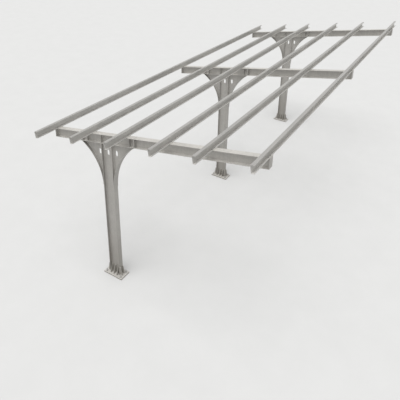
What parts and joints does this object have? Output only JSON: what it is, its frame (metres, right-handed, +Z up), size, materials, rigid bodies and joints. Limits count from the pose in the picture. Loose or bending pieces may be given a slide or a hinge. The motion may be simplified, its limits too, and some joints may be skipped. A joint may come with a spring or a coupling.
{
  "type": "solar carport frame",
  "caption": "Bare steel cantilever carport frame: columns with flared heads carry sloping beams and long purlins for a solar roof.",
  "frame": {"origin": "middle of the underside of the middle base plate", "axes": "+X along the beams towards the high side, +Y along the purlins, +Z up"},
  "size_m": [5.0767, 11.24, 4.4514],
  "materials": {
    "frame_steel": "hot-dip galvanised, matt grey with faint spangle",
    "purlin_steel": "pre-galvanised sheet, matt grey"
  },
  "bodies": {
    "root": {"front_arm_caps": "frame_steel", "front_arm_splice_plates": "frame_steel", "front_base_fins": "frame_steel", "front_base_plate": "frame_steel", "front_column": "frame_steel", "front_haunch_flanges": "frame_steel", "front_haunch_webs": "frame_steel", "front_head_beam": "frame_steel", "front_head_splice_plates": "frame_steel", "front_head_stiffeners": "frame_steel", "front_high_arm": "frame_steel", "front_low_arm": "frame_steel", "middle_arm_caps": "frame_steel", "middle_arm_splice_plates": "frame_steel", "middle_base_fins": "frame_steel", "middle_base_plate": "frame_steel", "middle_column": "frame_steel", "middle_haunch_flanges": "frame_steel", "middle_haunch_webs": "frame_steel", "middle_head_beam": "frame_steel", "middle_head_splice_plates": "frame_steel", "middle_head_stiffeners": "frame_steel", "middle_high_arm": "frame_steel", "middle_low_arm": "frame_steel", "purlin_1": "purlin_steel", "purlin_2": "purlin_steel", "purlin_3": "purlin_steel", "purlin_4": "purlin_steel", "purlin_5": "purlin_steel", "purlin_6": "purlin_steel", "rear_arm_caps": "frame_steel", "rear_arm_splice_plates": "frame_steel", "rear_base_fins": "frame_steel", "rear_base_plate": "frame_steel", "rear_column": "frame_steel", "rear_haunch_flanges": "frame_steel", "rear_haunch_webs": "frame_steel", "rear_head_beam": "frame_steel", "rear_head_splice_plates": "frame_steel", "rear_head_stiffeners": "frame_steel", "rear_high_arm": "frame_steel", "rear_low_arm": "frame_steel"}
  },
  "joints": []
}
